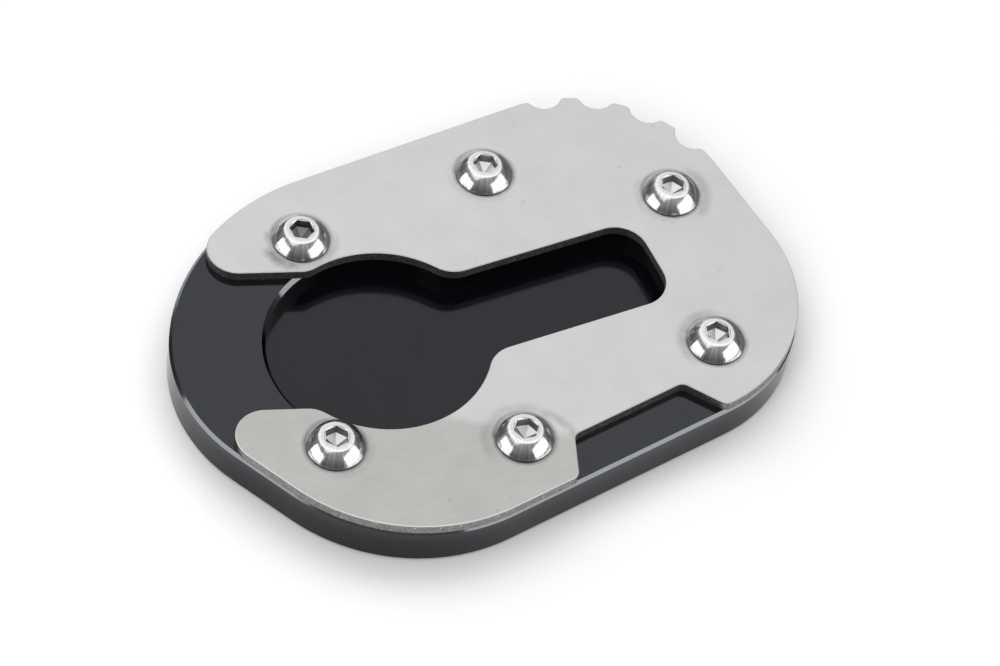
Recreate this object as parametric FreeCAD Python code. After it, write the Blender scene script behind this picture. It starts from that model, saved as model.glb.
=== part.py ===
import FreeCAD, Part
import math
import os

# Foot enlarger for a motorbike's side stand: a thick base block with a keyhole pocket for the
# stand's own foot, a thin clamp plate over it, and six button-head screws that pull them together.
# Millimetres and degrees. The origin is on the ground under the middle of the round pocket,
# X runs along the slot, Y runs to the serrated side, and Z is up.

# Base block
base_thickness = 8.0
base_margin = 0.15
base_chamfer = 0.55
pocket_depth = 4.0
pocket_chamfer = 0.7

# Clamp plate
plate_thickness = 2.0
plate_edge_break = 0.15
plate_overlap = 1.2

# Outline of the clamp plate, walked anticlockwise from the left end of its back edge.
# Each heading is the way the walk points along an edge, or where two rounds meet.
outline_start_x = -0.1
outline_start_y = 38.33
back_heading = 183.55
shoulder_heading = 245.0
left_heading = 298.7
front_heading = 368.3
right_heading = 456.6
back_left_radius = 40.4
left_radius = 30.6
left_length = 12.9
front_left_radius = 33.0
front_right_radius = 28.6
back_right_radius = 28.7
back_length = 44.6

# Scallops along the back right round
scallop_count = 4
scallop_radius = 3.45
scallop_outset = 1.2
scallop_pitch = 19.3
scallop_shift = 0.8
tooth_round = 0.95

# Keyhole opening of the clamp plate, with its open mouth on the left
keyhole_radius = 19.4
slot_width = 18.3
slot_end = 53.95
slot_corner_radius = 5.8
throat_radius = 5.85
mouth_width = 30.0
mouth_heading = 161.8
mouth_shift = 0.6
mouth_inner_radius = 5.0
lobe_tip_radius = 5.5

# Name notch in the front edge of the clamp plate, left bare
notch_middle = 29.3
notch_depth = 7.75
notch_inner_width = 23.2
notch_side_slope = 28.9
notch_inner_radius = 1.8
notch_outer_radius = 1.9

# Button-head screws: the outline stretch that each one stands by, the share of the way along
# that stretch, the distance inside the outline, and how far its hexagon socket is turned
screw_stations = (
    ("back_edge", 0.274, 12.0, 31.0),
    ("back_left_round", 0.175, 11.8, 30.0),
    ("left_edge", 0.978, 11.5, 8.0),
    ("front_edge", 0.205, 11.4, 50.0),
    ("front_right_round", 0.198, 11.7, 9.0),
    ("right_edge", 0.879, 11.6, 1.0),
)
thread_diameter = 6.0
thread_clearance = 0.05
plate_hole_diameter = 6.6
screw_length = 8.0
screw_tip_chamfer = 0.8
tapped_hole_bevel = 0.5
head_diameter = 10.5
head_height = 2.8
head_rim_height = 0.35
head_land_diameter = 6.1
socket_width = 4.0
socket_depth = 2.0
socket_mouth_chamfer = 0.1
socket_drill_depth = 0.45

plate_bottom = base_thickness
plate_top = plate_bottom + plate_thickness


def point(x, y, z=0.0):
    return FreeCAD.Vector(x, y, z)


def unit(heading):
    """Vector of length one that points along a heading."""
    angle = math.radians(heading)
    return point(math.cos(angle), math.sin(angle))


def inward(heading):
    """The walk is anticlockwise, so the inside is on its left."""
    return unit(heading + 90)


def arc(start, middle, end):
    return Part.Arc(start, middle, end).toShape()


def short_arc(centre, start, end):
    """Arc about a centre from start to end, the short way round."""
    out = (start - centre).normalize() + (end - centre).normalize()
    return arc(start, centre + out.normalize() * (start - centre).Length, end)


class Stretch:
    """One straight edge or one round of the outline."""

    def __init__(self, start, heading, length=0.0, radius=0.0, turn=0.0):
        self.start = start
        self.heading = heading
        self.length = length
        self.radius = radius
        self.turn = turn
        self.centre = start + inward(heading) * radius

    def place(self, share, inset=0.0):
        """Point at a share of the way along, moved inward by inset."""
        if self.radius:
            return self.centre - inward(self.heading + self.turn * share) * (self.radius - inset)
        along = self.start + unit(self.heading) * (self.length * share)
        return along + inward(self.heading) * inset

    def edge(self, inset):
        if self.radius:
            return arc(self.place(0, inset), self.place(0.5, inset), self.place(1, inset))
        return Part.makeLine(self.place(0, inset), self.place(1, inset))


def closing_lengths(rounds):
    """Lengths of the front and right edges that bring the walk back to its start."""
    gap = unit(back_heading) * back_length + unit(left_heading) * left_length
    for radius, before, after in rounds.values():
        gap += (inward(before) - inward(after)) * radius
    front = unit(front_heading)
    right = unit(right_heading)
    across = front.x * right.y - front.y * right.x
    front_length = (gap.y * right.x - gap.x * right.y) / across
    right_length = (gap.x * front.y - gap.y * front.x) / across
    return front_length, right_length


def walk_outline():
    """Stretches of the clamp plate's outline by name, each starting where the last one ends."""
    rounds = {
        "back_left_round": (back_left_radius, back_heading, shoulder_heading),
        "left_round": (left_radius, shoulder_heading, left_heading),
        "front_left_round": (front_left_radius, left_heading, front_heading),
        "front_right_round": (front_right_radius, front_heading, right_heading),
        "back_right_round": (back_right_radius, right_heading, back_heading + 360),
    }
    front_length, right_length = closing_lengths(rounds)
    edges = {
        "left_edge": (left_heading, left_length),
        "front_edge": (front_heading, front_length),
        "right_edge": (right_heading, right_length),
        "back_edge": (back_heading + 360, back_length),
    }
    order = (
        "back_left_round", "left_round", "left_edge", "front_left_round", "front_edge",
        "front_right_round", "right_edge", "back_right_round", "back_edge",
    )
    stretches = {}
    here = point(outline_start_x, outline_start_y)
    for name in order:
        if name in rounds:
            radius, before, after = rounds[name]
            stretches[name] = Stretch(here, before, radius=radius, turn=after - before)
        else:
            heading, length = edges[name]
            stretches[name] = Stretch(here, heading, length=length)
        here = stretches[name].place(1)
    return stretches


def serrated_edges(stretch, inset):
    """The back right round with scallops bitten out of it and the teeth's corners rounded."""
    centre = stretch.centre
    tip = stretch.radius - inset
    bite = scallop_radius + inset
    corner = tooth_round - inset
    reach = stretch.radius + scallop_outset
    cosine = ((tip - corner) ** 2 + reach ** 2 - (bite + corner) ** 2) / (2 * (tip - corner) * reach)
    half = math.degrees(math.acos(cosine))
    middle = stretch.heading + stretch.turn / 2 - 90 + scallop_shift
    angle = stretch.heading - 90
    edges = []
    for number in range(scallop_count):
        axis = middle + (number - (scallop_count - 1) / 2) * scallop_pitch
        bite_centre = centre + unit(axis) * reach
        foot = []
        for side in (-1, 1):
            corner_centre = centre + unit(axis + side * half) * (tip - corner)
            on_tip = centre + unit(axis + side * half) * tip
            on_bite = bite_centre + (corner_centre - bite_centre).normalize() * bite
            foot.append((corner_centre, on_tip, on_bite))
        edges.append(short_arc(centre, centre + unit(angle) * tip, foot[0][1]))
        edges.append(short_arc(foot[0][0], foot[0][1], foot[0][2]))
        edges.append(arc(foot[0][2], bite_centre - unit(axis) * bite, foot[1][2]))
        edges.append(short_arc(foot[1][0], foot[1][2], foot[1][1]))
        angle = axis + half
    edges.append(short_arc(centre, centre + unit(angle) * tip, stretch.place(1, inset)))
    return edges


def outline_block(stretches, inset, height):
    """Solid of the outline, shrunk by inset, standing on the ground."""
    edges = []
    for name, stretch in stretches.items():
        if name == "back_right_round":
            edges += serrated_edges(stretch, inset)
        else:
            edges.append(stretch.edge(inset))
    face = Part.Face(Part.Wire(edges))
    return face.extrude(point(0, 0, height))


def upright_edges(solid, corners):
    """The solid's vertical edges that stand nearest to each corner point."""
    upright = [e for e in solid.Edges if len(e.Vertexes) == 2 and is_upright(e)]
    found = []
    for corner in corners:
        flat = point(corner.x, corner.y)
        found.append(min(upright, key=lambda e: (in_plan(e) - flat).Length))
    return found


def is_upright(edge):
    low, high = (v.Point for v in edge.Vertexes)
    return abs(low.x - high.x) < 1e-6 and abs(low.y - high.y) < 1e-6


def in_plan(edge):
    return point(edge.Vertexes[0].X, edge.Vertexes[0].Y)


def level_edges(solid, height):
    """Edges that lie in the level plane at a height."""
    box = [(e, e.BoundBox) for e in solid.Edges]
    return [e for e, b in box if abs(b.ZMin - height) < 1e-5 and abs(b.ZMax - height) < 1e-5]


def keyhole_tool(grow, height):
    """Round hole and slot, grown by an amount all round, with filleted throat and end."""
    radius = keyhole_radius + grow
    half_width = slot_width / 2 + grow
    end = slot_end + grow
    hole = Part.makeCylinder(radius, height)
    slot = Part.makeBox(end, 2 * half_width, height, point(0, -half_width))
    tool = hole.fuse(slot).removeSplitter()
    throat = math.sqrt(radius ** 2 - half_width ** 2)
    throat_corners = [point(throat, side * half_width) for side in (-1, 1)]
    end_corners = [point(end, side * half_width) for side in (-1, 1)]
    tool = tool.makeFillet(throat_radius - grow, upright_edges(tool, throat_corners))
    return tool.makeFillet(slot_corner_radius + grow, upright_edges(tool, end_corners))


def mouth_side(side):
    """Signed distance of a mouth side from the origin, measured across the mouth's heading."""
    return mouth_shift + side * mouth_width / 2


def mouth_tool(height):
    """Channel from the round hole out through the left end."""
    reach = 2 * keyhole_radius + left_radius
    channel = Part.makeBox(reach, mouth_width, height, point(0, -mouth_width / 2))
    channel.rotate(point(0, 0), point(0, 0, 1), mouth_heading)
    channel.translate(unit(mouth_heading - 90) * mouth_shift)
    return channel


def plate_opening():
    """Keyhole and mouth together, with the corners between them rounded."""
    tool = keyhole_tool(0, plate_thickness).fuse(mouth_tool(plate_thickness)).removeSplitter()
    corners = []
    for side in (-1, 1):
        off = mouth_side(side)
        along = math.sqrt(keyhole_radius ** 2 - off ** 2)
        corners.append(unit(mouth_heading - 90) * off + unit(mouth_heading) * along)
    return tool.makeFillet(mouth_inner_radius, upright_edges(tool, corners))


def notch_corners(front_edge):
    """The notch's inner corners, and points on its sides at the front edge."""
    across = math.tan(math.radians(notch_side_slope)) * notch_depth
    inner = []
    outer = []
    for side in (-1, 1):
        half = side * notch_inner_width / 2
        share = (notch_middle + half) / front_edge.length
        inner.append(front_edge.place(share, notch_depth))
        outer.append(front_edge.place(share + side * across / front_edge.length))
    return inner, outer


def notch_tool(front_edge):
    """Prism of the notch, run on past the front edge, with its inner corners rounded."""
    inner, outer = notch_corners(front_edge)
    past = [o + (o - i) for i, o in zip(inner, outer)]
    wire = Part.makePolygon([inner[0], past[0], past[1], inner[1], inner[0]])
    tool = Part.Face(wire).extrude(point(0, 0, plate_thickness))
    return tool.makeFillet(notch_inner_radius, upright_edges(tool, inner))


def lobe_tips(blank):
    """Where the mouth's sides leave through the outline."""
    reach = 2 * keyhole_radius + left_radius
    tips = []
    for side in (-1, 1):
        foot = unit(mouth_heading - 90) * mouth_side(side)
        ray = Part.makeLine(foot, foot + unit(mouth_heading) * reach)
        inside = ray.common(blank)
        tips.append(max((v.Point for v in inside.Vertexes), key=lambda p: p.Length))
    return tips


def screw_places(stretches):
    """Screw centres on the ground plane."""
    return [stretches[name].place(share, inset) for name, share, inset, turn in screw_stations]


def clamp_plate(stretches):
    """Thin plate with the keyhole, the mouth, the notch and six screw holes."""
    blank = outline_block(stretches, 0, plate_thickness)
    front_edge = stretches["front_edge"]
    plate = blank.cut(plate_opening()).cut(notch_tool(front_edge))
    plate = plate.makeFillet(lobe_tip_radius, upright_edges(plate, lobe_tips(blank)))
    notch_ends = notch_corners(front_edge)[1]
    plate = plate.makeFillet(notch_outer_radius, upright_edges(plate, notch_ends))
    plate = plate.makeChamfer(plate_edge_break, level_edges(plate, plate_thickness))
    for place in screw_places(stretches):
        plate = plate.cut(Part.makeCylinder(plate_hole_diameter / 2, plate_thickness, place))
    plate.translate(point(0, 0, plate_bottom))
    return plate


def base_plate(stretches):
    """Thick block with chamfered rims, the keyhole pocket and six tapped holes right through."""
    block = outline_block(stretches, -base_margin, base_thickness)
    rims = level_edges(block, 0) + level_edges(block, base_thickness)
    block = block.makeChamfer(base_chamfer, rims)
    pocket = keyhole_tool(plate_overlap, pocket_depth)
    pocket.translate(point(0, 0, base_thickness - pocket_depth))
    block = block.cut(pocket)
    block = block.makeChamfer(pocket_chamfer, pocket_rim(block))
    hole_radius = thread_diameter / 2 + thread_clearance
    for place in screw_places(stretches):
        hole = Part.makeCylinder(hole_radius, base_thickness, place)
        bevel = Part.makeCone(hole_radius + tapped_hole_bevel, hole_radius, tapped_hole_bevel, place)
        block = block.cut(hole).cut(bevel)
    return block


def pocket_rim(block):
    """Edges of the pocket's mouth in the base's top face."""
    top = [f for f in block.Faces if is_level(f, base_thickness)]
    face = max(top, key=lambda f: f.Area)
    outer = face.OuterWire
    return [e for w in face.Wires if not w.isSame(outer) for e in w.Edges]


def is_level(face, height):
    box = face.BoundBox
    return abs(box.ZMin - height) < 1e-5 and abs(box.ZMax - height) < 1e-5


def head_profile():
    """Half section of the screw, turned about Z, with the head's seat at height zero."""
    rim = head_diameter / 2
    land = head_land_diameter / 2
    rise = head_height - head_rim_height
    sphere_low = (rim ** 2 - land ** 2 - rise ** 2) / (2 * rise)
    sphere_centre = head_rim_height - sphere_low
    sphere = math.hypot(rim, sphere_low)
    middle = (rim + land) / 2
    dome = point(middle, 0, sphere_centre + math.sqrt(sphere ** 2 - middle ** 2))
    thread = thread_diameter / 2
    tip = thread - screw_tip_chamfer
    edges = [
        Part.makeLine(point(0, 0, -screw_length), point(tip, 0, -screw_length)),
        Part.makeLine(point(tip, 0, -screw_length), point(thread, 0, screw_tip_chamfer - screw_length)),
        Part.makeLine(point(thread, 0, screw_tip_chamfer - screw_length), point(thread, 0, 0)),
        Part.makeLine(point(thread, 0, 0), point(rim, 0, 0)),
        Part.makeLine(point(rim, 0, 0), point(rim, 0, head_rim_height)),
        arc(point(rim, 0, head_rim_height), dome, point(land, 0, head_height)),
        Part.makeLine(point(land, 0, head_height), point(0, 0, head_height)),
        Part.makeLine(point(0, 0, head_height), point(0, 0, -screw_length)),
    ]
    return Part.Face(Part.Wire(edges))


def socket_tool():
    """Hexagon socket with a chamfered mouth and the drill's cone below it."""
    corner = socket_width / math.sqrt(3)
    hexagon = [unit(60 * n) * corner for n in range(6)]
    hexagon.append(hexagon[0])
    key = Part.Face(Part.makePolygon(hexagon)).extrude(point(0, 0, socket_depth))
    key.translate(point(0, 0, head_height - socket_depth))
    floor = head_height - socket_depth
    cone = Part.makeCone(0, socket_width / 2, socket_drill_depth, point(0, 0, floor - socket_drill_depth))
    mouth_low = head_height - socket_mouth_chamfer
    mouth = Part.makeCone(corner, corner + socket_mouth_chamfer, socket_mouth_chamfer, point(0, 0, mouth_low))
    return key.fuse([cone, mouth])


def button_screw(place, socket_turn):
    """Screw with its head down on the clamp plate."""
    body = head_profile().revolve(point(0, 0), point(0, 0, 1), 360)
    body = Part.Solid(body) if body.ShapeType == "Shell" else body
    screw = body.cut(socket_tool())
    screw.rotate(point(0, 0), point(0, 0, 1), socket_turn)
    screw.translate(place + point(0, 0, plate_top))
    return screw


def save(name, shape):
    solid = shape.Solids[0]
    solid.exportStep("parts/" + name + ".step")
    print(name, "valid", solid.isValid(), "solids", len(shape.Solids), "volume", round(solid.Volume, 1))


def main():
    os.makedirs("parts", exist_ok=True)
    stretches = walk_outline()
    save("base_plate", base_plate(stretches))
    save("clamp_plate", clamp_plate(stretches))
    for number, place in enumerate(screw_places(stretches)):
        socket_turn = screw_stations[number][3]
        save("clamp_screw_" + str(number + 1), button_screw(place, socket_turn))


main()
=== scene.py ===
import math

import bmesh
import bpy
from mathutils import Matrix, Vector


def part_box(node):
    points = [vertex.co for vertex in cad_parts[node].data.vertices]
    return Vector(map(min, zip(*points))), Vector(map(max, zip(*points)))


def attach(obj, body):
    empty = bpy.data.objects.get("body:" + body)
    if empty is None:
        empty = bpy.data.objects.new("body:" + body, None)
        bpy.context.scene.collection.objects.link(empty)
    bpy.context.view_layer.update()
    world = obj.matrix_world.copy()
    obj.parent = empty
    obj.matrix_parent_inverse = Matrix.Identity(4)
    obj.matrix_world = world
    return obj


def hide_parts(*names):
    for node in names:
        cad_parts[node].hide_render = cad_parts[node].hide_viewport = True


bl_info = {
    "name": "Side Stand Foot Enlarger",
    "version": (1, 0, 0),
    "blender": (4, 5, 0),
    "location": "View3D > Sidebar > Foot Enlarger",
    "description": "Finishes and stage for a motorbike's side stand foot enlarger",
    "category": "Object",
}

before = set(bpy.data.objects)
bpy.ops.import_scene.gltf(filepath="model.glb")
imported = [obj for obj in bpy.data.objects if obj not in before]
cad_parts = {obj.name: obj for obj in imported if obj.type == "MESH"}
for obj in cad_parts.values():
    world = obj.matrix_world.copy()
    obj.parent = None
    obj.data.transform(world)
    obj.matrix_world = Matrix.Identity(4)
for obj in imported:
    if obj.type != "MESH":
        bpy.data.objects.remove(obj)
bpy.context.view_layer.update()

MM = 0.001
SCREWS = ["clamp_screw_" + str(number) for number in range(1, 7)]
# How far each screw's socket is turned, in degrees
SOCKET_TURNS = (31, 30, 8, 50, 9, 1)
GRIMY_SCREW = "clamp_screw_2"
# Brightness that the floor of a socket has kept, clean and under grime
CLEAN_FLOOR = 0.92
GRIMY_FLOOR = 0.25
PLATE_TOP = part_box("clamp_plate")[1].z
HEAD_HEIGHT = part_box(SCREWS[0])[1].z - PLATE_TOP
OWN_PLACE = "own_place"
# Distances from a screw's axis in millimetres: as far as its socket reaches, the end of the level
# ring round it, and the place on the dome where its streaks are at their strongest
SOCKET_REACH = 2.32
RING_END = 2.9
DOME_START = 3.6
# Rise of the normal on a chamfer of 45 degrees
CHAMFER_RISE = 0.71
# How far apart two places in a mesh may be and still count as one
CLOSE = 0.001 * MM
# Where the lamps aim: on the floor, below the part's middle
LAMP_AIM = Vector((20 * MM, 0, 0))


def linear(code):
    """Linear red, green and blue of an sRGB hex colour."""
    parts = [int(code[place:place + 2], 16) / 255 for place in (1, 3, 5)]
    return tuple(p / 12.92 if p <= 0.04045 else ((p + 0.055) / 1.055) ** 2.4 for p in parts)


def add(tree, kind, values=None, links=None, **settings):
    """Adds a node with its settings, its input values and the links into it."""
    node = tree.nodes.new(kind)
    for name, value in settings.items():
        setattr(node, name, value)
    for name, value in (values or {}).items():
        node.inputs[name].default_value = value
    for name, source in (links or {}).items():
        tree.links.new(source, node.inputs[name])
    return node


def set_stops(ramp, stops):
    """Greys of a colour ramp, as places and levels."""
    elements = ramp.color_ramp.elements
    elements[0].position = stops[0][0]
    elements[1].position = stops[-1][0]
    for position, level in stops[1:-1]:
        elements.new(position)
    for element, (position, level) in zip(elements, stops):
        element.color = (level, level, level, 1)


def direction(azimuth, elevation):
    """Unit vector that points to an azimuth and elevation in degrees."""
    turn = math.radians(azimuth)
    lift = math.radians(elevation)
    return Vector((math.cos(lift) * math.cos(turn), math.cos(lift) * math.sin(turn), math.sin(lift)))


def screw_place(name):
    """Middle of a screw in plan, at the clamp plate's top."""
    low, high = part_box(name)
    return Vector(((low.x + high.x) / 2, (low.y + high.y) / 2, PLATE_TOP))


# Settings


class BlockFinish(bpy.types.PropertyGroup):
    """Finish of the thick block."""

    colour: bpy.props.FloatVectorProperty(
        name="Anodised colour", description="Dye in the anodised layer",
        subtype="COLOR", size=3, min=0, max=1, default=linear("#080a0d"))
    corner_colour: bpy.props.FloatVectorProperty(
        name="Corner colour", description="Chamfers, where the metal shines through the dye",
        subtype="COLOR", size=3, min=0, max=1, default=linear("#76787b"))
    roughness: bpy.props.FloatProperty(
        name="Roughness", description="Roughness of the flat faces",
        subtype="FACTOR", default=0.11, min=0, max=1)
    blast_size: bpy.props.FloatProperty(
        name="Blast size", description="From bump to bump of the blasted texture",
        subtype="DISTANCE", unit="LENGTH", default=0.25 * MM, precision=5)


class PlateFinish(bpy.types.PropertyGroup):
    """Finish of the clamp plate."""

    colour: bpy.props.FloatVectorProperty(
        name="Steel colour", description="Brushed top face",
        subtype="COLOR", size=3, min=0, max=1, default=linear("#c8c8c8"))
    edge_colour: bpy.props.FloatVectorProperty(
        name="Cut edge colour", description="Laser-cut edge",
        subtype="COLOR", size=3, min=0, max=1, default=linear("#999997"))
    roughness: bpy.props.FloatProperty(
        name="Roughness", description="Roughness of the brushed face",
        subtype="FACTOR", default=0.3, min=0, max=1)
    grain_turn: bpy.props.FloatProperty(
        name="Grain turn", description="Way that the brushing runs, from the slot's own",
        subtype="ANGLE", default=math.radians(3))


class ScrewFinish(bpy.types.PropertyGroup):
    """Sizes and finish of the button-head screws."""

    colour: bpy.props.FloatVectorProperty(
        name="Steel colour", description="Polished head",
        subtype="COLOR", size=3, min=0, max=1, default=linear("#ebebeb"))
    roughness: bpy.props.FloatProperty(
        name="Roughness", description="Roughness of the polished head",
        subtype="FACTOR", default=0.15, min=0, max=1)
    rim_height: bpy.props.FloatProperty(
        name="Rim height", description="Upright band at the foot of the head",
        subtype="DISTANCE", unit="LENGTH", default=0.35 * MM, precision=5)
    land_width: bpy.props.FloatProperty(
        name="Land width", description="Flat ring round the socket",
        subtype="DISTANCE", unit="LENGTH", default=6.1 * MM, precision=5)
    socket_width: bpy.props.FloatProperty(
        name="Socket width", description="Hexagon socket across its flats",
        subtype="DISTANCE", unit="LENGTH", default=3.9 * MM, precision=5)
    socket_depth: bpy.props.FloatProperty(
        name="Socket depth", description="Depth of the socket's walls",
        subtype="DISTANCE", unit="LENGTH", default=1.9 * MM, precision=5)
    thread_width: bpy.props.FloatProperty(
        name="Thread width", description="Outer width of the thread",
        subtype="DISTANCE", unit="LENGTH", default=5.96 * MM, precision=5)
    thread_pitch: bpy.props.FloatProperty(
        name="Thread pitch", description="Rise of the thread in one turn",
        subtype="DISTANCE", unit="LENGTH", default=1 * MM, precision=5)


class StageSettings(bpy.types.PropertyGroup):
    """Floor, lamps and camera."""

    floor_colour: bpy.props.FloatVectorProperty(
        name="Floor colour", description="Plain pale floor",
        subtype="COLOR", size=3, min=0, max=1, default=linear("#f6f6f7"))
    side_level: bpy.props.FloatProperty(
        name="Side lamp level", description="Brightness of the two side softboxes", default=1.7, min=0)
    back_level: bpy.props.FloatProperty(
        name="Back lamp level", description="Brightness of the low softbox behind", default=0.36, min=0)
    top_level: bpy.props.FloatProperty(
        name="Top lamp level", description="Brightness of the softbox overhead", default=0.8, min=0)
    key_level: bpy.props.FloatProperty(
        name="Key lamp level", description="Brightness of the high lamp behind", default=1.6, min=0)
    fill_level: bpy.props.FloatProperty(
        name="Fill lamp level", description="Brightness of the lamp beside the camera", default=2.5, min=0)
    sky_level: bpy.props.FloatProperty(
        name="Sky level", description="Brightness of the room", default=1.0, min=0)
    lens: bpy.props.FloatProperty(
        name="Lens", description="Focal length of the camera", unit="CAMERA", default=140.95, min=1)


SETTINGS = {
    "block_finish": BlockFinish,
    "plate_finish": PlateFinish,
    "screw_finish": ScrewFinish,
    "stage_settings": StageSettings,
}

# Way from the round pocket to the corner that is painted in shade
SHADED_CORNER_WAY = (-0.528, -0.849, 0)
# Red, green and blue that are left in the steel's colour there, as painted shade
SHADED_CORNER_TINT = (0.79, 0.775, 0.755)

# Wiped marks on the clamp plate's face: middle and radius of the arc, its width, the way it lies
# from that middle, its half spread, and how much it darkens. Millimetres and degrees.
WIPED_ARCS = (
    ((33.0, 28.4), 6.2, 1.3, 225, 60, 0.10),
    ((-4.7, 25.7), 6.3, 2.0, 212, 30, 0.50),
    ((-4.7, 25.7), 5.9, 1.0, 172, 26, 0.35),
    ((-4.7, 25.7), 6.2, 1.3, 285, 60, 0.22),
    ((-17.2, -18.1), 6.2, 1.3, 300, 60, 0.12),
    ((14.3, -28.0), 6.4, 1.7, 95, 60, 0.18),
    ((13.4, -31.2), 9.5, 1.4, 25, 28, 0.24),
    ((14.3, -28.0), 6.8, 1.7, 165, 30, 0.18),
    ((55.7, -20.9), 6.0, 1.7, 130, 70, 0.28),
    ((63.4, 12.2), 6.6, 1.8, -15, 50, 0.26),
    ((63.4, 12.2), 6.2, 1.3, 190, 60, 0.14),
)

# Softboxes that only mirrors show: where each stands, its azimuth and elevation, how wide and how tall
# it looks from the part, all in degrees, and the setting for its level.
SOFTBOXES = (
    ("left_softbox", 175, 14, 49, 34, "side_level"),
    ("right_softbox", 311, 19, 58, 39, "side_level"),
    ("back_softbox", 71, 12, 50, 28, "back_level"),
)

# Lamps that mirrors don't show: azimuth and elevation in degrees, width and height in metres, and the
# setting for the level.
DULL_LAMPS = (
    ("key_lamp", 64, 56, 1.9, 0.6, "key_level"),
    ("fill_lamp", 222, 40, 0.9, 0.9, "fill_level"),
)


# Materials


def new_material(name):
    """Empty node material and its tree, shader, and place and normal in object coordinates."""
    material = bpy.data.materials.new(name)
    material.use_nodes = True
    tree = material.node_tree
    shader = tree.nodes["Principled BSDF"]
    coordinates = add(tree, "ShaderNodeTexCoord").outputs
    return material, tree, shader, coordinates["Object"], coordinates["Normal"]


def screw_gap(tree, place):
    """Distance in plan to the axis of the nearest screw."""
    flat = add(tree, "ShaderNodeVectorMath", {1: (1, 1, 0)}, {0: place}, operation="MULTIPLY")
    nearest = None
    for name in SCREWS:
        middle = screw_place(name)
        gap = add(tree, "ShaderNodeVectorMath", {1: (middle.x, middle.y, 0)}, {0: flat.outputs[0]},
                  operation="DISTANCE").outputs["Value"]
        if nearest is None:
            nearest = gap
        else:
            least = add(tree, "ShaderNodeMath", None, {0: nearest, 1: gap}, operation="MINIMUM")
            nearest = least.outputs[0]
    return nearest


def anodised_aluminium(finish):
    """Milled, blasted and black anodised: a deep, slightly blue black with a tight satin gloss."""
    material, tree, shader, place, normal = new_material("black_anodised_aluminium")
    # fine blasted texture: gives the highlights their soft rim
    blast = add(tree, "ShaderNodeTexNoise", {"Scale": 1 / finish.blast_size, "Detail": 2.0},
                {"Vector": place})
    # uneven gloss where hands and wipes have passed, 14 mm across
    wipe = add(tree, "ShaderNodeTexNoise", {"Scale": 1 / (14 * MM), "Detail": 3.0, "Distortion": 0.6},
               {"Vector": place})
    rough = add(tree, "ShaderNodeMapRange", {
        "From Min": 0.3, "From Max": 0.7,
        "To Min": finish.roughness - 0.02, "To Max": finish.roughness + 0.03,
    }, {"Value": wipe.outputs["Fac"]})
    ramp = add(tree, "ShaderNodeValToRGB", None, {"Fac": wipe.outputs["Fac"]})
    for element, position, share in zip(ramp.color_ramp.elements, (0.3, 0.7), (0.85, 1.2)):
        element.position = position
        element.color = (*[c * share for c in finish.colour], 1)
    # the block shines less low down: below 5 mm, in the pocket floor and on the lower sides, the specular
    # level is lowest, and it rises up to 7.4 mm
    height = add(tree, "ShaderNodeSeparateXYZ", None, {"Vector": place})
    sunk = add(tree, "ShaderNodeMapRange", {
        "From Min": 5.0 * MM, "From Max": 7.4 * MM, "To Min": 0.36, "To Max": 0.56,
    }, {"Value": height.outputs["Z"]})
    # the chamfers are cut last: metal shines through the dye there
    upright = add(tree, "ShaderNodeSeparateXYZ", None, {"Vector": normal})
    lean = add(tree, "ShaderNodeMath", {1: CHAMFER_RISE}, {0: upright.outputs["Z"]}, operation="SUBTRACT")
    tilt = add(tree, "ShaderNodeMath", None, {0: lean.outputs[0]}, operation="ABSOLUTE")
    chamfer = add(tree, "ShaderNodeMapRange", {
        "From Min": 0.1, "From Max": 0.2, "To Min": 1.0, "To Max": 0.0}, {"Value": tilt.outputs[0]})
    colour = add(tree, "ShaderNodeMix", {5: finish.corner_colour}, {
        "Factor": chamfer.outputs["Result"], 4: ramp.outputs["Color"]}, data_type="VECTOR")
    # turns of the thread in the tapped holes, 1 mm apart
    turns = add(tree, "ShaderNodeMath", {1: 0.5 * MM}, {0: height.outputs["Z"]}, operation="PINGPONG")
    tapped = add(tree, "ShaderNodeMath", {1: 3.2 * MM}, {0: screw_gap(tree, place)},
                 operation="LESS_THAN")
    thread = add(tree, "ShaderNodeMath", None, {0: turns.outputs[0], 1: tapped.outputs[0]},
                 operation="MULTIPLY")
    grooves = add(tree, "ShaderNodeBump", {"Strength": 1.0, "Distance": 1.0}, {"Height": thread.outputs[0]})
    bump = add(tree, "ShaderNodeBump", {"Strength": 0.03, "Distance": 0.02 * MM},
               {"Height": blast.outputs["Fac"], "Normal": grooves.outputs["Normal"]})
    tree.links.new(colour.outputs[1], shader.inputs["Base Color"])
    tree.links.new(chamfer.outputs["Result"], shader.inputs["Metallic"])
    tree.links.new(rough.outputs["Result"], shader.inputs["Roughness"])
    tree.links.new(sunk.outputs["Result"], shader.inputs["Specular IOR Level"])
    shader.inputs["Specular Tint"].default_value = (*linear("#f4f7ff"), 1)
    tree.links.new(bump.outputs["Normal"], shader.inputs["Normal"])
    return material


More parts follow.
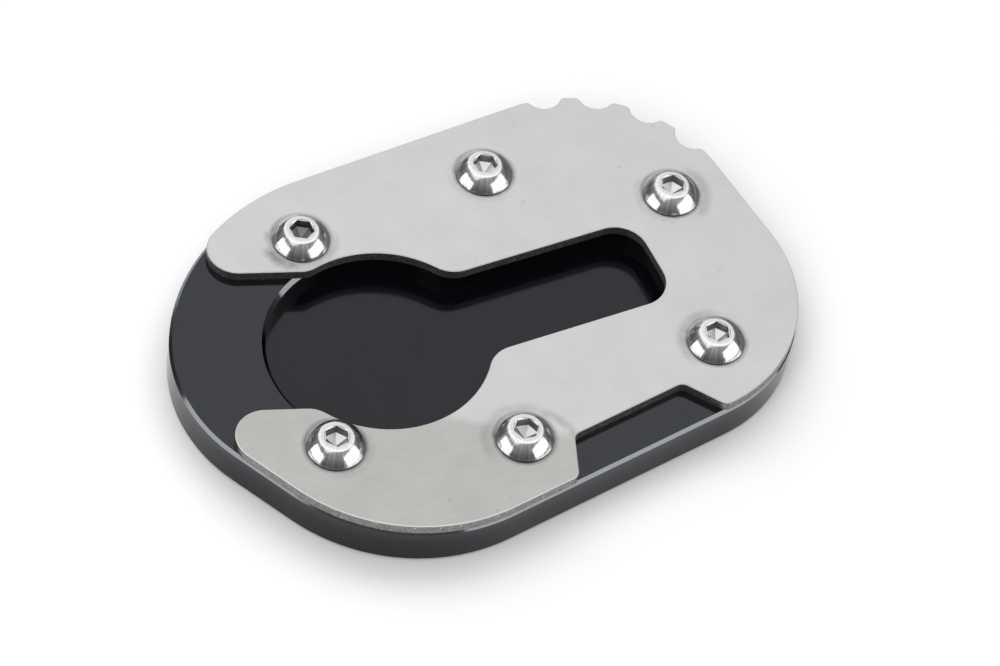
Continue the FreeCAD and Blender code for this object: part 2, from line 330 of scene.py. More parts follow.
def wiped_arc(tree, place, middle, radius, width, heading, spread, strength):
    """Share of light that one wiped arc takes away."""
    offset = add(tree, "ShaderNodeVectorMath", {1: (middle[0] * MM, middle[1] * MM, PLATE_TOP)}, {0: place},
                 operation="SUBTRACT")
    reach = add(tree, "ShaderNodeVectorMath", None, {0: offset.outputs[0]}, operation="LENGTH")
    away = add(tree, "ShaderNodeMath", {1: radius * MM}, {0: reach.outputs["Value"]}, operation="SUBTRACT")
    gap = add(tree, "ShaderNodeMath", None, {0: away.outputs[0]}, operation="ABSOLUTE")
    band = add(tree, "ShaderNodeMapRange", {"From Max": width * MM, "To Min": strength, "To Max": 0.0},
               {"Value": gap.outputs[0]}, interpolation_type="SMOOTHSTEP")
    way = add(tree, "ShaderNodeVectorMath", None, {0: offset.outputs[0]}, operation="NORMALIZE")
    turn = math.radians(heading)
    facing = add(tree, "ShaderNodeVectorMath", {1: (math.cos(turn), math.sin(turn), 0)},
                 {0: way.outputs[0]}, operation="DOT_PRODUCT")
    side = add(tree, "ShaderNodeMapRange", {"From Min": math.cos(math.radians(spread * 1.35)),
                                            "From Max": math.cos(math.radians(spread * 0.6))},
               {"Value": facing.outputs["Value"]}, interpolation_type="SMOOTHSTEP")
    return add(tree, "ShaderNodeMath", None, {0: band.outputs[0], 1: side.outputs[0]},
               operation="MULTIPLY").outputs[0]


def brushed_stainless(finish):
    """Stainless sheet: a fine brushed face with wiped arcs round the screws, and laser-cut edges."""
    material, tree, shader, place, normal = new_material("brushed_stainless_steel")
    turned = add(tree, "ShaderNodeMapping", {"Rotation": (0, 0, -finish.grain_turn)}, {"Vector": place})
    # brush lines are 0.02 mm wide on the real sheet: drawn 0.25 mm wide and 9 mm long so that they show
    lines = add(tree, "ShaderNodeMapping", {"Scale": (1 / (9 * MM), 1 / (0.25 * MM), 1 / (0.25 * MM))},
                {"Vector": turned.outputs["Vector"]})
    grain = add(tree, "ShaderNodeTexNoise", {"Scale": 1.0, "Detail": 3.0, "Roughness": 0.7},
                {"Vector": lines.outputs["Vector"]})
    # long smears along the brushing, 6 mm by 1 mm
    drawn = add(tree, "ShaderNodeMapping", {"Scale": (1 / (6 * MM), 1 / (1.0 * MM), 1 / (1.0 * MM))},
                {"Vector": turned.outputs["Vector"]})
    smear = add(tree, "ShaderNodeTexNoise", {
        "Scale": 1.0, "Detail": 4.0, "Roughness": 0.65, "Distortion": 0.1,
    }, {"Vector": drawn.outputs["Vector"]})
    # cloudy stains, 7 mm across
    cloud = add(tree, "ShaderNodeTexNoise", {"Scale": 1 / (7 * MM), "Detail": 4.0, "Roughness": 0.6},
                {"Vector": place})
    # painted shade makes the corner by the front left lobe darker and warmer; it is also more streaked
    across = add(tree, "ShaderNodeVectorMath", {1: SHADED_CORNER_WAY}, {0: place}, operation="DOT_PRODUCT")
    shifted = add(tree, "ShaderNodeMath", {1: 3 * MM}, {
        0: cloud.outputs["Fac"], 2: across.outputs["Value"]}, operation="MULTIPLY_ADD")
    shaded_corner = add(tree, "ShaderNodeMapRange", {"From Min": 14.6 * MM, "From Max": 17.4 * MM},
                  {"Value": shifted.outputs[0]}, interpolation_type="SMOOTHSTEP")
    # specks and pits, some 0.6 mm across, one in about four cells of 3.4 mm
    cells = add(tree, "ShaderNodeTexVoronoi", {"Scale": 1 / (3.4 * MM), "Randomness": 1.0},
                {"Vector": place})
    picked = add(tree, "ShaderNodeSeparateColor", None, {"Color": cells.outputs["Color"]})
    chosen = add(tree, "ShaderNodeMath", {1: 0.72}, {0: picked.outputs["Red"]},
                 operation="GREATER_THAN")
    pit = add(tree, "ShaderNodeMapRange", {"From Min": 0.05, "From Max": 0.13, "To Min": 0.16, "To Max": 0.0},
              {"Value": cells.outputs["Distance"]})
    pits = add(tree, "ShaderNodeMath", None, {0: chosen.outputs[0], 1: pit.outputs["Result"]},
               operation="MULTIPLY")
    # painted contact shadow round each screw head, where it meets the plate
    contact_shadow = add(tree, "ShaderNodeMapRange", {
        "From Min": 5.2 * MM, "From Max": 6.3 * MM, "To Min": 0.55, "To Max": 0.0,
    }, {"Value": screw_gap(tree, place)}, interpolation_type="SMOOTHSTEP")
    taken = add(tree, "ShaderNodeMath", None, {0: pits.outputs[0], 1: contact_shadow.outputs["Result"]},
                operation="MAXIMUM").outputs[0]
    # the wiped dirt, the pits and the painted contact shadow are patchy, 2 mm across, and the arcs waver by
    # the same patches
    crumbs = add(tree, "ShaderNodeTexNoise", {"Scale": 1 / (2 * MM), "Detail": 3.0, "Roughness": 0.6},
                 {"Vector": place})
    waver = 1.4 * MM
    wavering = add(tree, "ShaderNodeVectorMath", {1: (waver, waver, 0), 2: (-waver / 2, -waver / 2, 0)},
                   {0: crumbs.outputs["Color"]}, operation="MULTIPLY_ADD")
    wavered = add(tree, "ShaderNodeVectorMath", None, {0: place, 1: wavering.outputs[0]}, operation="ADD")
    for arc in WIPED_ARCS:
        taken = add(tree, "ShaderNodeMath", None, {0: taken, 1: wiped_arc(tree, wavered.outputs[0], *arc)},
                    operation="MAXIMUM").outputs[0]
    patchy = add(tree, "ShaderNodeMapRange", {
        "From Min": 0.35, "From Max": 0.6, "To Min": 0.7, "To Max": 1.05}, {"Value": crumbs.outputs["Fac"]})
    dirt_and_shade = add(tree, "ShaderNodeMath", None, {0: taken, 1: patchy.outputs["Result"]}, operation="MULTIPLY")
    even = add(tree, "ShaderNodeMapRange", {
        "From Min": 0.3, "From Max": 0.7, "To Min": 0.985, "To Max": 1.015}, {"Value": grain.outputs["Fac"]})
    dull = add(tree, "ShaderNodeMapRange", {
        "From Min": 0.3, "From Max": 0.7, "To Min": 0.965, "To Max": 1.035}, {"Value": smear.outputs["Fac"]})
    streaks = add(tree, "ShaderNodeMix", None, {
        "Factor": shaded_corner.outputs["Result"], 2: even.outputs["Result"], 3: dull.outputs["Result"]})
    stain = add(tree, "ShaderNodeMapRange", {
        "From Min": 0.3, "From Max": 0.7, "To Min": 0.955, "To Max": 1.03}, {"Value": cloud.outputs["Fac"]})
    tone = add(tree, "ShaderNodeMath", None, {0: streaks.outputs[0], 1: stain.outputs["Result"]},
               operation="MULTIPLY")
    # what the dirt and the painted contact shadow leave of the steel's brightness
    clean = add(tree, "ShaderNodeMath", {0: 1.0}, {1: dirt_and_shade.outputs[0]}, operation="SUBTRACT")
    light = add(tree, "ShaderNodeMath", None, {0: tone.outputs[0], 1: clean.outputs[0]},
                operation="MULTIPLY")
    # painted shade: the steel's colour is darkened and warmed in the front left corner
    corner_shade_colour = [c * share for c, share in zip(finish.colour, SHADED_CORNER_TINT)]
    tint = add(tree, "ShaderNodeMix", {4: finish.colour, 5: corner_shade_colour},
               {"Factor": shaded_corner.outputs["Result"]}, data_type="VECTOR")
    face = add(tree, "ShaderNodeVectorMath", None, {0: tint.outputs[1], "Scale": light.outputs[0]},
               operation="SCALE")
    # the laser leaves the cut edges darker and dull, with a pattern of burns 0.5 mm apart
    upright = add(tree, "ShaderNodeSeparateXYZ", None, {"Vector": normal})
    flat = add(tree, "ShaderNodeMapRange", {"From Min": 0.3, "From Max": 0.6},
               {"Value": upright.outputs["Z"]})
    burn = add(tree, "ShaderNodeTexNoise", {"Scale": 1 / (0.5 * MM), "Detail": 3.0, "Roughness": 0.7},
               {"Vector": place})
    burnt = add(tree, "ShaderNodeMapRange", {
        "From Min": 0.35, "From Max": 0.75, "To Min": 0.5, "To Max": 1.25}, {"Value": burn.outputs["Fac"]})
    # a few bright crumbs of melt stick to the cut, some 0.3 mm across
    melt = add(tree, "ShaderNodeTexVoronoi", {"Scale": 1 / (0.7 * MM)}, {"Vector": place})
    kept = add(tree, "ShaderNodeSeparateColor", None, {"Color": melt.outputs["Color"]})
    rare = add(tree, "ShaderNodeMath", {1: 0.8}, {0: kept.outputs["Red"]}, operation="GREATER_THAN")
    crumb = add(tree, "ShaderNodeMapRange", {
        "From Min": 0.1, "From Max": 0.3, "To Min": 1.6, "To Max": 0.0}, {"Value": melt.outputs["Distance"]})
    spattered = add(tree, "ShaderNodeMath", None, {
        0: rare.outputs[0], 1: crumb.outputs["Result"], 2: burnt.outputs["Result"],
    }, operation="MULTIPLY_ADD")
    edge = add(tree, "ShaderNodeVectorMath", {0: finish.edge_colour}, {"Scale": spattered.outputs[0]},
               operation="SCALE")
    # the broken edge is nearly as bright as the face; in the front left corner it is smoother and carries a
    # painted highlight
    level = add(tree, "ShaderNodeMapRange", {"From Min": 0.8, "From Max": 0.95},
                {"Value": upright.outputs["Z"]})
    edge_highlight = add(tree, "ShaderNodeMapRange", {"To Min": 0.96, "To Max": 1.3},
                 {"Value": shaded_corner.outputs["Result"]})
    broken = add(tree, "ShaderNodeMapRange", {"To Min": 0.55, "To Max": 0.28}, {
        "Value": shaded_corner.outputs["Result"]})
    kept_light = add(tree, "ShaderNodeMapRange", None, {
        "Value": level.outputs["Result"], "To Min": edge_highlight.outputs["Result"]})
    top = add(tree, "ShaderNodeVectorMath", None, {
        0: face.outputs["Vector"], "Scale": kept_light.outputs["Result"]}, operation="SCALE")
    colour = add(tree, "ShaderNodeMix", None, {
        "Factor": flat.outputs["Result"], 4: edge.outputs["Vector"], 5: top.outputs["Vector"],
    }, data_type="VECTOR")
    brushed = add(tree, "ShaderNodeMapRange", {
        "From Min": 0.3, "From Max": 0.7,
        "To Min": finish.roughness - 0.02, "To Max": finish.roughness + 0.02,
    }, {"Value": grain.outputs["Fac"]})
    rough = add(tree, "ShaderNodeMapRange", None, {
        "Value": level.outputs["Result"],
        "To Min": broken.outputs["Result"], "To Max": brushed.outputs["Result"]})
    # it rolls over softly, so it mirrors nearly what the face does
    lift = add(tree, "ShaderNodeMath", {1: 2.5}, {0: flat.outputs["Result"]}, operation="MULTIPLY")
    raised = add(tree, "ShaderNodeCombineXYZ", None, {"Z": lift.outputs[0]})
    rolled = add(tree, "ShaderNodeVectorMath", None, {
        0: normal, 1: raised.outputs["Vector"]}, operation="ADD")
    facing = add(tree, "ShaderNodeVectorMath", None, {0: rolled.outputs["Vector"]}, operation="NORMALIZE")
    bump = add(tree, "ShaderNodeBump", {"Strength": 0.06, "Distance": 0.02 * MM},
               {"Height": grain.outputs["Fac"], "Normal": facing.outputs["Vector"]})
    tree.links.new(colour.outputs[1], shader.inputs["Base Color"])
    tree.links.new(rough.outputs["Result"], shader.inputs["Roughness"])
    tree.links.new(bump.outputs["Normal"], shader.inputs["Normal"])
    shader.inputs["Metallic"].default_value = 1
    return material


def polished_stainless(name, finish, floor_share):
    """Cold-forged stainless screw, tumbled bright: nearly a mirror, with radial streaks and a dull socket.

    The floor share is how much of its brightness the socket's floor has kept under the grime.
    """
    material, tree, shader, place, normal = new_material(name)
    own = add(tree, "ShaderNodeAttribute", attribute_name=OWN_PLACE).outputs["Vector"]
    # streaks that run out from the socket, some 70 round the head
    flat = add(tree, "ShaderNodeVectorMath", {1: (1, 1, 0)}, {0: own}, operation="MULTIPLY")
    way = add(tree, "ShaderNodeVectorMath", None, {0: flat.outputs[0]}, operation="NORMALIZE")
    streak = add(tree, "ShaderNodeTexNoise", {"Scale": 11.0, "Detail": 3.0, "Roughness": 0.6},
                 {"Vector": way.outputs[0]})
    # they are faint on the level ring round the socket, and painted shade makes that ring a little darker
    # than the dome
    reach = add(tree, "ShaderNodeVectorMath", None, {0: flat.outputs[0]}, operation="LENGTH")
    faint = add(tree, "ShaderNodeMapRange", {
        "From Min": RING_END, "From Max": DOME_START, "To Min": 1.0, "To Max": 0.68,
    }, {"Value": reach.outputs["Value"]})
    ring = add(tree, "ShaderNodeMapRange", {"From Min": 2.65, "From Max": 3.3, "To Min": 0.71},
               {"Value": reach.outputs["Value"]})
    # tumbling marks, 0.5 mm across
    tumble = add(tree, "ShaderNodeTexNoise", {"Scale": 1 / (0.5 * MM), "Detail": 3.0}, {"Vector": place})
    marks = add(tree, "ShaderNodeMath", None, {0: streak.outputs["Fac"], 1: tumble.outputs["Fac"]},
                operation="ADD")
    # the punch leaves the socket dull; painted shade darkens its walls in the recess, and its floor is
    # lighter where there is no grime
    height = add(tree, "ShaderNodeSeparateXYZ", None, {"Vector": own})
    within = add(tree, "ShaderNodeMath", {1: SOCKET_REACH}, {0: reach.outputs["Value"]},
                 operation="LESS_THAN")
    below = add(tree, "ShaderNodeMath", {1: HEAD_HEIGHT / MM - 0.12}, {0: height.outputs["Z"]},
                operation="LESS_THAN")
    punched = add(tree, "ShaderNodeMath", None, {0: within.outputs[0], 1: below.outputs[0]},
                  operation="MULTIPLY")
    facing = add(tree, "ShaderNodeSeparateXYZ", None, {"Vector": normal})
    # painted shade on the socket's walls, and the brightness the floor has kept
    socket = add(tree, "ShaderNodeMapRange", {
        "From Min": 0.1, "From Max": 0.5, "To Min": 0.42, "To Max": floor_share,
    }, {"Value": facing.outputs["Z"]})
    streaked = add(tree, "ShaderNodeMapRange", {"From Min": 0.3, "From Max": 0.7, "To Max": 1.15},
                   {"Value": streak.outputs["Fac"], "To Min": faint.outputs["Result"]})
    # painted shadow darkens the foot of the rim where it meets the plate, and a thin painted dark line
    # runs along the rim's top; the shank below stays bright; heights are in millimetres
    foot = add(tree, "ShaderNodeValToRGB", None, {"Fac": height.outputs["Z"]})
    set_stops(foot, (
        (0.0, 1.0), (0.01, 0.2), (0.12, 0.3), (0.18, 1.0), (0.28, 1.0), (0.34, 0.6), (0.42, 1.0)))
    brushed = add(tree, "ShaderNodeMath", None, {0: streaked.outputs["Result"], 1: ring.outputs["Result"]},
                  operation="MULTIPLY")
    streaks_and_shade = add(tree, "ShaderNodeMath", None, {0: brushed.outputs[0], 1: foot.outputs["Color"]},
               operation="MULTIPLY")
    share = add(tree, "ShaderNodeMix", None, {
        "Factor": punched.outputs[0], 2: streaks_and_shade.outputs[0], 3: socket.outputs["Result"]})
    colour = add(tree, "ShaderNodeVectorMath", {0: finish.colour}, {"Scale": share.outputs[0]},
                 operation="SCALE")
    bright = add(tree, "ShaderNodeMapRange", {
        "From Min": 0.7, "From Max": 1.3,
        "To Min": finish.roughness - 0.05, "To Max": finish.roughness + 0.08,
    }, {"Value": marks.outputs[0]})
    rough = add(tree, "ShaderNodeMapRange", {"To Max": 0.36},
                {"Value": punched.outputs[0], "To Min": bright.outputs["Result"]})
    deep = add(tree, "ShaderNodeMapRange", {
        "From Min": RING_END, "From Max": DOME_START, "To Min": 0.08, "To Max": 0.32,
    }, {"Value": reach.outputs["Value"]})
    bump = add(tree, "ShaderNodeBump", {"Distance": 0.02 * MM},
               {"Height": marks.outputs[0], "Strength": deep.outputs["Result"]})
    tree.links.new(colour.outputs[0], shader.inputs["Base Color"])
    tree.links.new(rough.outputs["Result"], shader.inputs["Roughness"])
    tree.links.new(bump.outputs["Normal"], shader.inputs["Normal"])
    shader.inputs["Metallic"].default_value = 1
    return material


def dress(name, material):
    """Gives a CAD node its finish."""
    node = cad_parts[name]
    node.data.materials.clear()
    node.data.materials.append(material)


# Screw pieces


def deselect():
    """Leaves nothing selected, so that an operator acts on the new piece alone."""
    bpy.ops.object.select_all(action="DESELECT")


def take(piece):
    """Makes a piece the only selected and active one."""
    deselect()
    bpy.context.view_layer.objects.active = piece
    piece.select_set(True)


def pick(piece, kind, test):
    """In edit mode, selects only the faces or edges that pass a test."""
    mesh = bmesh.from_edit_mesh(piece.data)
    parts = getattr(mesh, kind)
    for part in parts:
        part.select_set(False)
    mesh.select_flush(False)
    for part in parts:
        if test(part):
            part.select_set(True)
    bmesh.update_edit_mesh(piece.data)


def grow_ring(rise, scale):
    """Extrudes the selected face along the axis and scales it about the axis."""
    bpy.ops.mesh.extrude_region_move(TRANSFORM_OT_translate={"value": (0, 0, rise)})
    bpy.ops.transform.resize(value=(scale, scale, 1), center_override=(0, 0, 0))


def cut_away(piece, cutter):
    """Cuts one piece with another and deletes the cutter."""
    take(piece)
    cut = piece.modifiers.new("cut", "BOOLEAN")
    cut.object = cutter
    cut.solver = "EXACT"
    bpy.ops.object.modifier_apply(modifier="cut")
    bpy.data.objects.remove(cutter)


def turned_head(sizes, rim):
    """Domed head on its rim, ring by ring about the axis, with its foot at the origin."""
    rings = 16
    land_bevel = 0.32 * MM
    land = sizes.land_width / 2
    rise = HEAD_HEIGHT - sizes.rim_height
    low = (rim ** 2 - land ** 2 - rise ** 2) / (2 * rise)
    dome = math.hypot(rim, low)
    start = math.asin(rim / dome)
    stop = math.asin(land / dome)
    deselect()
    bpy.ops.mesh.primitive_cylinder_add(
        vertices=96, radius=rim, depth=sizes.rim_height, location=(0, 0, sizes.rim_height / 2))
    head = bpy.context.object
    bpy.ops.object.transform_apply(location=True, rotation=False, scale=False)
    bpy.ops.object.mode_set(mode="EDIT")
    pick(head, "faces", lambda face: face.normal.z > 0.9)
    radius = rim
    height = sizes.rim_height
    for ring in range(1, rings + 1):
        angle = start + (stop - start) * ring / rings
        next_radius = dome * math.sin(angle)
        next_height = sizes.rim_height - low + dome * math.cos(angle)
        grow_ring(next_height - height, next_radius / radius)
        radius = next_radius
        height = next_height
    pick(head, "edges", lambda edge: all(
        point.co.z > height - CLOSE and point.co.xy.length > 0.99 * land for point in edge.verts))
    bpy.ops.mesh.bevel(offset=land_bevel, segments=4, affect="EDGES")
    return head


def draw_shank(head, core, rim, length):
    """Core of the shank, drawn down out of the head's underside to a chamfered tip."""
    taper = 0.6 * MM
    pick(head, "faces", lambda face: face.normal.z < -0.9)
    bpy.ops.mesh.extrude_region_move(TRANSFORM_OT_translate={"value": (0, 0, 0)})
    bpy.ops.transform.resize(value=(core / rim, core / rim, 1), center_override=(0, 0, 0))
    grow_ring(taper - length, 1)
    grow_ring(-taper, (core - taper) / core)


def soften_foot(head, rim):
    """Small round where the rim meets the plate, which leaves a dark line of shadow."""
    foot_round = 0.2 * MM
    pick(head, "edges", lambda edge: all(
        abs(point.co.z) < CLOSE and point.co.xy.length > 0.99 * rim for point in edge.verts))
    bpy.ops.mesh.bevel(offset=foot_round, segments=4, affect="EDGES")


def socket_punch(sizes):
    """Six-sided punch with a pointed end, which stamps the socket."""
    corner = sizes.socket_width / math.sqrt(3)
    over = 1 * MM
    point = corner * math.tan(math.radians(26))
    tip_share = 0.03
    depth = sizes.socket_depth + over
    deselect()
    bpy.ops.mesh.primitive_cylinder_add(
        vertices=6, radius=corner, depth=depth, location=(0, 0, HEAD_HEIGHT + over - depth / 2),
        rotation=(0, 0, math.radians(30)))
    punch = bpy.context.object
    bpy.ops.object.mode_set(mode="EDIT")
    pick(punch, "faces", lambda face: face.normal.z < -0.9)
    grow_ring(-point * (1 - tip_share), tip_share)
    bpy.ops.object.mode_set(mode="OBJECT")
    return punch


def mouth_cutter(sizes):
    """Shallow cone that breaks the sharp corners at the socket's mouth."""
    corner = sizes.socket_width / math.sqrt(3)
    chamfer = 0.08 * MM
    over = 0.3 * MM
    deselect()
    bpy.ops.mesh.primitive_cone_add(
        vertices=96, radius1=corner - chamfer, radius2=corner + over, depth=chamfer + over,
        location=(0, 0, HEAD_HEIGHT + (over - chamfer) / 2))
    return bpy.context.object


def wound_thread(sizes, core, length):
    """Thread as one ridge, wound about the axis with a screw modifier and closed at both ends."""
    pitch = sizes.thread_pitch
    sunk = 0.03 * MM
    end_gap = 0.6 * MM
    foot_share = 0.84
    crest_share = 0.16
    steps = 48
    crest = sizes.thread_width / 2
    root = core - sunk
    turns = int((length - 2 * end_gap) / pitch)
    middle = ((root + crest) / 2, 0, -end_gap)
    deselect()
    bpy.ops.mesh.primitive_plane_add(size=1, location=middle, rotation=(math.pi / 2, 0, 0))
    ridge = bpy.context.object
    ridge.scale = (crest - root, foot_share * pitch, 1)
    bpy.ops.object.transform_apply(location=True, rotation=True, scale=True)
    bpy.ops.object.mode_set(mode="EDIT")
    pick(ridge, "edges", lambda edge: all(point.co.x > middle[0] for point in edge.verts))
    bpy.ops.transform.resize(value=(1, 1, crest_share), center_override=middle)
    bpy.ops.object.mode_set(mode="OBJECT")
    wind = ridge.modifiers.new("wind", "SCREW")
    wind.axis = "Z"
    wind.angle = math.tau
    wind.screw_offset = -pitch
    wind.iterations = turns
    wind.steps = steps
    wind.render_steps = steps
    bpy.ops.object.modifier_apply(modifier="wind")
    bpy.ops.object.mode_set(mode="EDIT")
    bpy.ops.mesh.select_all(action="SELECT")
    bpy.ops.mesh.remove_doubles(threshold=0.0001 * MM)
    bpy.ops.mesh.fill_holes(sides=0)
    bpy.ops.mesh.normals_make_consistent(inside=False)
    bpy.ops.object.mode_set(mode="OBJECT")
    return ridge


def remember_place(screw):
    """Keeps each point's place from the screw's own axis, in millimetres, for the finish."""
    own = screw.data.attributes.new(OWN_PLACE, "FLOAT_VECTOR", "POINT")
    for point, value in zip(screw.data.vertices, own.data):
        value.vector = point.co / MM


def first_screw(sizes, rim, length):
    """One whole button-head screw at the origin, its head's foot at height nought."""
    thread_depth = 0.61 * sizes.thread_pitch
    core = sizes.thread_width / 2 - thread_depth
    screw = turned_head(sizes, rim)
    draw_shank(screw, core, rim, length)
    soften_foot(screw, rim)
    bpy.ops.mesh.select_all(action="SELECT")
    bpy.ops.mesh.normals_make_consistent(inside=False)
    bpy.ops.object.mode_set(mode="OBJECT")
    cut_away(screw, socket_punch(sizes))
    cut_away(screw, mouth_cutter(sizes))
    thread = wound_thread(sizes, core, length)
    take(screw)
    thread.select_set(True)
    bpy.ops.object.join()
    take(screw)
    bpy.ops.object.shade_smooth_by_angle(angle=math.radians(24))
    remember_place(screw)
    return screw


def copy_screw(first, number, node, material, turn):
    """A copy with its own mesh, turned and set in the place of its CAD node."""
    take(first)
    bpy.ops.object.duplicate(linked=False)
    screw = bpy.context.object
    screw.rotation_euler = (0, 0, turn)
    screw.location = screw_place(node)
    bpy.ops.object.transform_apply(location=True, rotation=True, scale=True)
    screw.name = "button_screw_" + str(number)
    screw.data.name = screw.name
    screw.data.materials.clear()
    screw.data.materials.append(material)
    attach(screw, "root")
    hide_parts(node)


# Operators


class FOOT_OT_block(bpy.types.Operator):
    """Give the thick block its black anodised finish"""

    bl_idname = "foot.dress_block"
    bl_label = "Dress Block"

    def execute(self, context):
        dress("base_plate", anodised_aluminium(context.scene.block_finish))
        return {"FINISHED"}


class FOOT_OT_plate(bpy.types.Operator):
    """Give the clamp plate its brushed face, wiped halos and cut edges"""

    bl_idname = "foot.dress_plate"
    bl_label = "Dress Clamp Plate"

    def execute(self, context):
        dress("clamp_plate", brushed_stainless(context.scene.plate_finish))
        return {"FINISHED"}


class FOOT_OT_screws(bpy.types.Operator):
    """Model the polished button-head screws"""

    bl_idname = "foot.make_screws"
    bl_label = "Make Screws"

    def execute(self, context):
        sizes = context.scene.screw_finish
        clean = polished_stainless("polished_stainless_steel", sizes, CLEAN_FLOOR)
        grimy = polished_stainless("polished_stainless_steel_with_grime", sizes, GRIMY_FLOOR)
        low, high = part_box(SCREWS[0])
        first = first_screw(sizes, (high.x - low.x) / 2, PLATE_TOP - low.z)
        for number, (node, turn) in enumerate(zip(SCREWS, SOCKET_TURNS), 1):
            copy_screw(first, number, node, grimy if node == GRIMY_SCREW else clean, math.radians(turn))
        bpy.data.objects.remove(first)
        return {"FINISHED"}


class FOOT_OT_stage(bpy.types.Operator):
    """Set the floor, the soft lamps, the sky and the camera"""

    bl_idname = "foot.set_stage"
    bl_label = "Set Stage"

    def execute(self, context):
        settings = context.scene.stage_settings
        lay_floor(settings)
        for *shape, level in SOFTBOXES:
            hang_softbox(*shape, getattr(settings, level))
        hang_ceiling_softbox(settings.top_level)
        for *shape, level in DULL_LAMPS:
            hang_dull_lamp(*shape, getattr(settings, level))
        paint_sky(context.scene, settings)
        place_camera(context.scene, settings)
        return {"FINISHED"}


def lay_floor(settings):
    """Wide sheet of pale paper that the part lies on."""
    deselect()
    bpy.ops.mesh.primitive_plane_add(size=6.0)
    floor = bpy.context.object
    floor.name = "floor"
    material, tree, shader, place, _ = new_material("pale_paper")
    # faint pulp of the paper, 2 mm across
    pulp = add(tree, "ShaderNodeTexNoise", {"Scale": 1 / (2 * MM), "Detail": 2.0}, {"Vector": place})
    ramp = add(tree, "ShaderNodeValToRGB", None, {"Fac": pulp.outputs["Fac"]})
    ramp.color_ramp.elements[0].color = (*[c * 0.995 for c in settings.floor_colour], 1)
    ramp.color_ramp.elements[1].color = (*settings.floor_colour, 1)
    # mirrors see painted shade on the paper past 0.12 m, as the real paper fell into shade round the real
    # part
    reach = add(tree, "ShaderNodeVectorMath", None, {0: place}, operation="LENGTH")
    far = add(tree, "ShaderNodeMapRange", {"From Min": 0.1, "From Max": 0.14},
              {"Value": reach.outputs["Value"]})
    ray = add(tree, "ShaderNodeLightPath")
    mirrored = add(tree, "ShaderNodeMath", None, {
        0: far.outputs["Result"], 1: ray.outputs["Is Glossy Ray"]}, operation="MULTIPLY")
    shade = add(tree, "ShaderNodeMapRange", {"To Min": 1.0, "To Max": 0.2},
                {"Value": mirrored.outputs[0]})
    shown = add(tree, "ShaderNodeVectorMath", None, {
        0: ramp.outputs["Color"], "Scale": shade.outputs["Result"]}, operation="SCALE")
    tree.links.new(shown.outputs["Vector"], shader.inputs["Base Color"])
    shader.inputs["Roughness"].default_value = 0.9
    shader.inputs["Specular IOR Level"].default_value = 0.0
    floor.data.materials.append(material)


def hang_lamp(name, place, toward, width, height, level):
    """Rectangular lamp at a place that shines toward a point; a level of one is white."""
    deselect()
    bpy.ops.object.light_add(type="AREA", location=place)
    lamp = bpy.context.object
    lamp.rotation_euler = (Vector(toward) - Vector(place)).to_track_quat("-Z", "Y").to_euler()
    lamp.name = name
    lamp.data.shape = "RECTANGLE"
    lamp.data.size = width
    lamp.data.size_y = height
    lamp.data.energy = level * math.pi * width * height
    return lamp


def hang_softbox(name, azimuth, elevation, wide, tall, level):
    """Softbox that only mirrors show: its direction and the angles it fills, in degrees."""
    distance = 0.9
    width = 2 * distance * math.tan(math.radians(wide) / 2)
    height = 2 * distance * math.tan(math.radians(tall) / 2)
    place = LAMP_AIM + distance * direction(azimuth, elevation)
    lamp = hang_lamp(name, place, LAMP_AIM, width, height, level)
    lamp.visible_diffuse = False


def hang_ceiling_softbox(level):
    """Wide softbox overhead, which reaches far behind the part: the level faces mirror it."""
    behind = 0.99
    height = 0.92
    width = 1.8
    length = 2.82
    hang_lamp("ceiling_softbox", (0, behind, height), (0, behind, 0), width, length, level)


def hang_dull_lamp(name, azimuth, elevation, width, height, level):
    """Lamp that lights dull surfaces alone: it shapes the soft shadow, and mirrors don't show it."""
    distance = 1.3
    lamp = hang_lamp(name, distance * direction(azimuth, elevation), LAMP_AIM, width, height, level)
    lamp.visible_glossy = False


def paint_sky(scene, settings):
    """A ceiling that is bright overhead and dim near the floor; the camera sees plain white."""
    world = bpy.data.worlds.new("studio")
    scene.world = world
    world.use_nodes = True
    tree = world.node_tree
    tree.nodes.clear()
    way = add(tree, "ShaderNodeTexCoord")
    height = add(tree, "ShaderNodeSeparateXYZ", None, {"Vector": way.outputs["Generated"]})
    ramp = add(tree, "ShaderNodeValToRGB", None, {"Fac": height.outputs["Z"]})
    set_stops(ramp, ((0.0, 0.07), (0.34, 0.16), (0.64, 0.27), (0.87, 0.4), (1.0, 0.5)))
    ceiling = add(tree, "ShaderNodeBackground", {"Strength": settings.sky_level},
                  {"Color": ramp.outputs["Color"]})
    white = add(tree, "ShaderNodeBackground", {"Color": (1, 1, 1, 1), "Strength": 1.0})
    ray = add(tree, "ShaderNodeLightPath")
    mix = add(tree, "ShaderNodeMixShader", None, {
        0: ray.outputs["Is Camera Ray"], 1: ceiling.outputs[0], 2: white.outputs[0]})
    add(tree, "ShaderNodeOutputWorld", None, {"Surface": mix.outputs[0]})


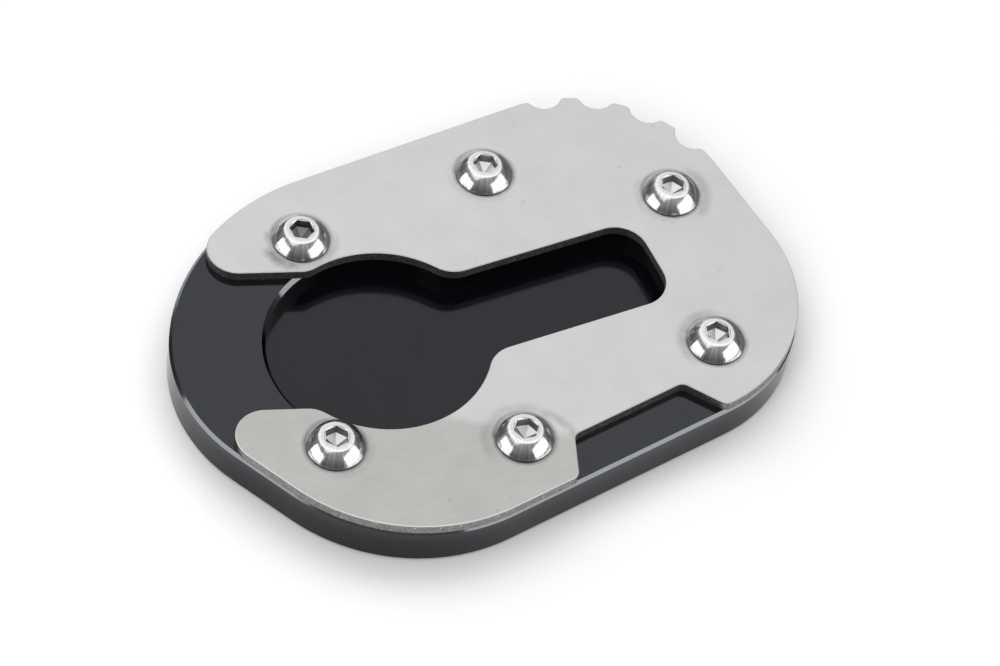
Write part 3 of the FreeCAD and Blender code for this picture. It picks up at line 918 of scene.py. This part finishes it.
def place_camera(scene, settings):
    """Camera at the photograph's angle: where it stands from its aim, and its roll, in degrees."""
    aim = Vector((20.07, -5.88, 10)) * MM
    distance = 692.8 * MM
    azimuth = 236.05
    elevation = 52.10
    roll = math.radians(10.94)
    back = direction(azimuth, elevation)
    right = direction(azimuth + 90, 0)
    up = back.cross(right)
    side = right * math.cos(roll) + up * math.sin(roll)
    top = up * math.cos(roll) - right * math.sin(roll)
    place = aim + back * distance
    matrix = Matrix((side, top, back)).transposed().to_4x4()
    matrix.translation = place
    deselect()
    bpy.ops.object.camera_add()
    camera = bpy.context.object
    camera.name = "photo_camera"
    camera.matrix_world = matrix
    camera.data.lens = settings.lens
    camera.data.sensor_width = 36
    camera.data.clip_end = 20
    scene.camera = camera


class FOOT_PT_panel(bpy.types.Panel):
    """Settings of the part and the steps that make it"""

    bl_idname = "FOOT_PT_panel"
    bl_label = "Foot Enlarger"
    bl_space_type = "VIEW_3D"
    bl_region_type = "UI"
    bl_category = "Foot Enlarger"

    def draw(self, context):
        for name in SETTINGS:
            box = self.layout.box()
            group = getattr(context.scene, name)
            for key in group.bl_rna.properties.keys():
                if key not in {"rna_type", "name"}:
                    box.prop(group, key)
        for operator in STEPS:
            self.layout.operator(operator.bl_idname)


STEPS = (FOOT_OT_block, FOOT_OT_plate, FOOT_OT_screws, FOOT_OT_stage)
CLASSES = (*SETTINGS.values(), *STEPS, FOOT_PT_panel)


def register():
    for item in CLASSES:
        bpy.utils.register_class(item)
    for name, group in SETTINGS.items():
        setattr(bpy.types.Scene, name, bpy.props.PointerProperty(type=group))


def unregister():
    for name in SETTINGS:
        delattr(bpy.types.Scene, name)
    for item in reversed(CLASSES):
        bpy.utils.unregister_class(item)


def main():
    """Makes the whole scene."""
    register()
    bpy.context.scene.view_settings.view_transform = "Standard"
    bpy.ops.foot.dress_block()
    bpy.ops.foot.dress_plate()
    bpy.ops.foot.make_screws()
    bpy.ops.foot.set_stage()


if __name__ == "__main__":
    main()
